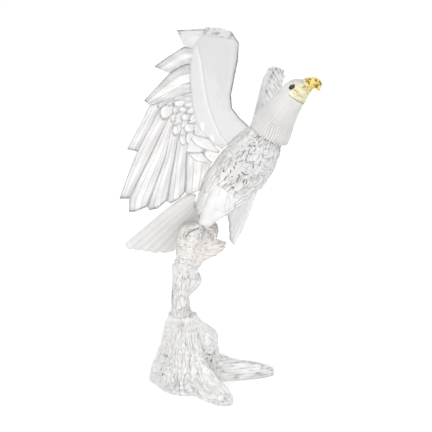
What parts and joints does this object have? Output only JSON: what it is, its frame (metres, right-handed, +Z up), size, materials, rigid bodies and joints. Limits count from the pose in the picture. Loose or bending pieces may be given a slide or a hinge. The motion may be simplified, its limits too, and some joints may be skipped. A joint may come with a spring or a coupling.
{
  "type": "crystal eagle figurine",
  "caption": "Standing crystal eagle with raised wings and fanned tail on a bark-textured branch that rises from a frosted stump with spreading roots.",
  "frame": {"origin": "on the flat underside of the stump, below the trunk", "axes": "+Z up, +X towards the side that the beak points to, -Y towards the viewer who sees the near wing face on"},
  "size_m": [0.1082, 0.0947, 0.1968],
  "materials": {
    "crystal_frosted_grey": "frosted, finely grooved",
    "crystal_bark": "clear with a faint warm tint and a rough bark texture",
    "crystal_clear": "polished and faceted",
    "crystal_frosted_warm": "frosted and fluted",
    "crystal_yellow": "polished golden yellow",
    "jet": "polished black"
  },
  "bodies": {
    "root": {"base_stump": "crystal_frosted_grey", "perch_branch": "crystal_bark", "body": "crystal_clear", "head": "crystal_frosted_warm", "beak": "crystal_yellow", "eye_right": "jet", "eye_left": "jet", "wing_right": "crystal_clear", "wing_left": "crystal_clear", "tail": "crystal_frosted_warm"}
  },
  "joints": []
}
